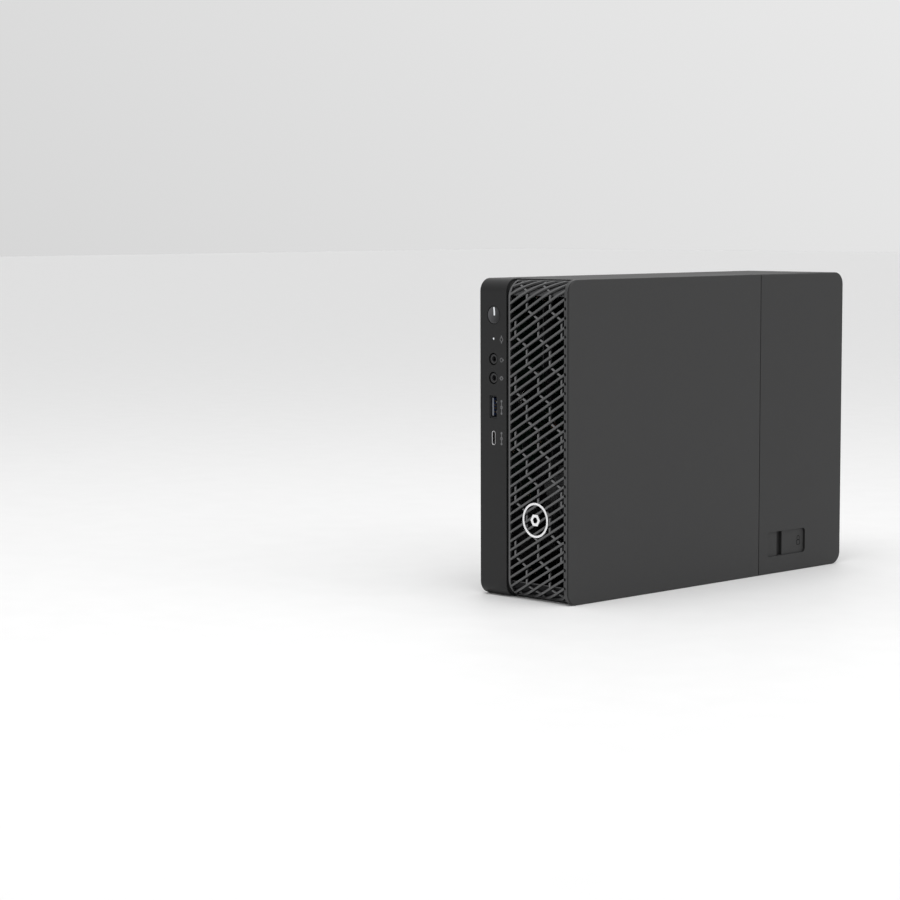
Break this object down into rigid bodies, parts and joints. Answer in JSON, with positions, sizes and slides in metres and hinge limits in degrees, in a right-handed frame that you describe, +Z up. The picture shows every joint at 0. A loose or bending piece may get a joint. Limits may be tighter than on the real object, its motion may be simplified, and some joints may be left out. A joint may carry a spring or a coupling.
{
  "type": "mini pc",
  "caption": "Upright small-form-factor computer with a slanted-bar front grille, a lift-off side cover and a clip-on rear cable cover with a sliding latch.",
  "frame": {"origin": "centre of the footprint, on the surface that the upright computer stands on", "axes": "+Z up; the front grille faces -Y and the cable cover +Y; the removable side cover faces +X and the stand side faces -X"},
  "size_m": [0.0808, 0.281, 0.207],
  "materials": {
    "painted_steel": "fine textured powder coat",
    "tray_steel": "fine textured powder coat",
    "bezel_plastic": "fine moulded texture",
    "grille_plastic": "satin moulded",
    "cover_plastic": "fine texture",
    "latch_plastic": "fine moulded texture",
    "badge_metal": "satin",
    "button_plastic": "satin gloss",
    "light_white": "diffusing",
    "socket_black": "moulded",
    "socket_metal": "nickel plated",
    "bracket_metal": "zinc plated",
    "screw_steel": "zinc plated",
    "insert_brass": "turned",
    "foot_rubber": "matt",
    "board_green": "solder mask",
    "chip_black": "moulded epoxy",
    "processor_nickel": "nickel plated",
    "fin_aluminium": "extruded",
    "pipe_copper": "nickel-free copper",
    "fan_plastic": "moulded",
    "cable_sleeve": "sleeved"
  },
  "bodies": {
    "chassis": {"chassis_tray": "tray_steel", "front_bezel": "bezel_plastic", "front_grille": "grille_plastic", "badge": "badge_metal", "status_light_guide": "light_white", "audio_jacks": "socket_black", "power_switch": "socket_black", "power_inlet": "socket_black", "drive_socket": "socket_black", "processor_socket": "socket_black", "expansion_slot": "socket_black", "memory_sockets": "socket_black", "coin_cell_holder": "socket_black", "riser_socket": "socket_black", "front_usb_a": "socket_metal", "front_usb_c": "socket_metal", "network_socket": "socket_metal", "rear_usb_blocks": "socket_metal", "display_sockets": "socket_metal", "graphics_outputs": "socket_metal", "graphics_bracket": "bracket_metal", "board_screws": "screw_steel", "heatsink_screws": "screw_steel", "drive_screw": "screw_steel", "bracket_screw": "screw_steel", "mount_inserts": "insert_brass", "standoffs": "insert_brass", "side_feet": "foot_rubber", "motherboard": "board_green", "memory_modules": "board_green", "solid_state_drive": "board_green", "riser_board": "board_green", "graphics_board": "board_green", "wireless_card": "board_green", "board_components": "chip_black", "processor": "processor_nickel", "coin_cell": "processor_nickel", "heatsink": "fin_aluminium", "drive_heat_spreader": "fin_aluminium", "graphics_heatsink": "fin_aluminium", "heat_pipes": "pipe_copper", "fan_frame": "fan_plastic", "air_duct": "fan_plastic", "graphics_shroud": "fan_plastic", "graphics_fan_base": "fan_plastic", "speaker": "fan_plastic", "antennas": "cable_sleeve", "antenna_cables": "cable_sleeve", "internal_cables": "cable_sleeve"},
    "power_button": {"power_button": "button_plastic", "power_light_line": "light_white"},
    "side_cover": {"side_cover": "painted_steel"},
    "cover_thumbscrew": {"cover_thumbscrew": "screw_steel"},
    "cable_cover": {"cable_cover": "cover_plastic", "latch_guide": "cover_plastic", "latch_guide_screws": "screw_steel", "latch_spring": "screw_steel"},
    "release_latch": {"release_latch": "latch_plastic"},
    "fan_rotor": {"fan_rotor": "fan_plastic"},
    "graphics_fan_rotor": {"graphics_fan_rotor": "fan_plastic"}
  },
  "joints": [
    {"name": "power_button_press", "type": "slide", "parent": "chassis", "child": "power_button", "axis": [0, 1, 0], "range_m": [0, 0.0008], "stiffness_N_per_m": 900},
    {"name": "side_cover_lift", "type": "slide", "parent": "chassis", "child": "side_cover", "axis": [1, 0, 0], "range_m": [0, 0.06]},
    {"name": "thumbscrew_turn", "type": "hinge", "parent": "chassis", "child": "cover_thumbscrew", "pos_m": [0.0315, 0.045, 0.108], "axis": [0, 1, 0], "range_deg": [0, 1440]},
    {"name": "cable_cover_pull", "type": "slide", "parent": "chassis", "child": "cable_cover", "axis": [0, 1, 0], "range_m": [0, 0.12]},
    {"name": "latch_slide", "type": "slide", "parent": "cable_cover", "child": "release_latch", "axis": [0, 1, 0], "range_m": [0, 0.006], "stiffness_N_per_m": 150, "deforming": ["latch_spring"]},
    {"name": "fan_spin", "type": "hinge", "parent": "chassis", "child": "fan_rotor", "pos_m": [0.004, -0.095, 0.058], "axis": [0, 1, 0], "continuous": true},
    {"name": "graphics_fan_spin", "type": "hinge", "parent": "chassis", "child": "graphics_fan_rotor", "pos_m": [0.02, -0.0815, 0.158], "axis": [1, 0, 0], "continuous": true}
  ]
}
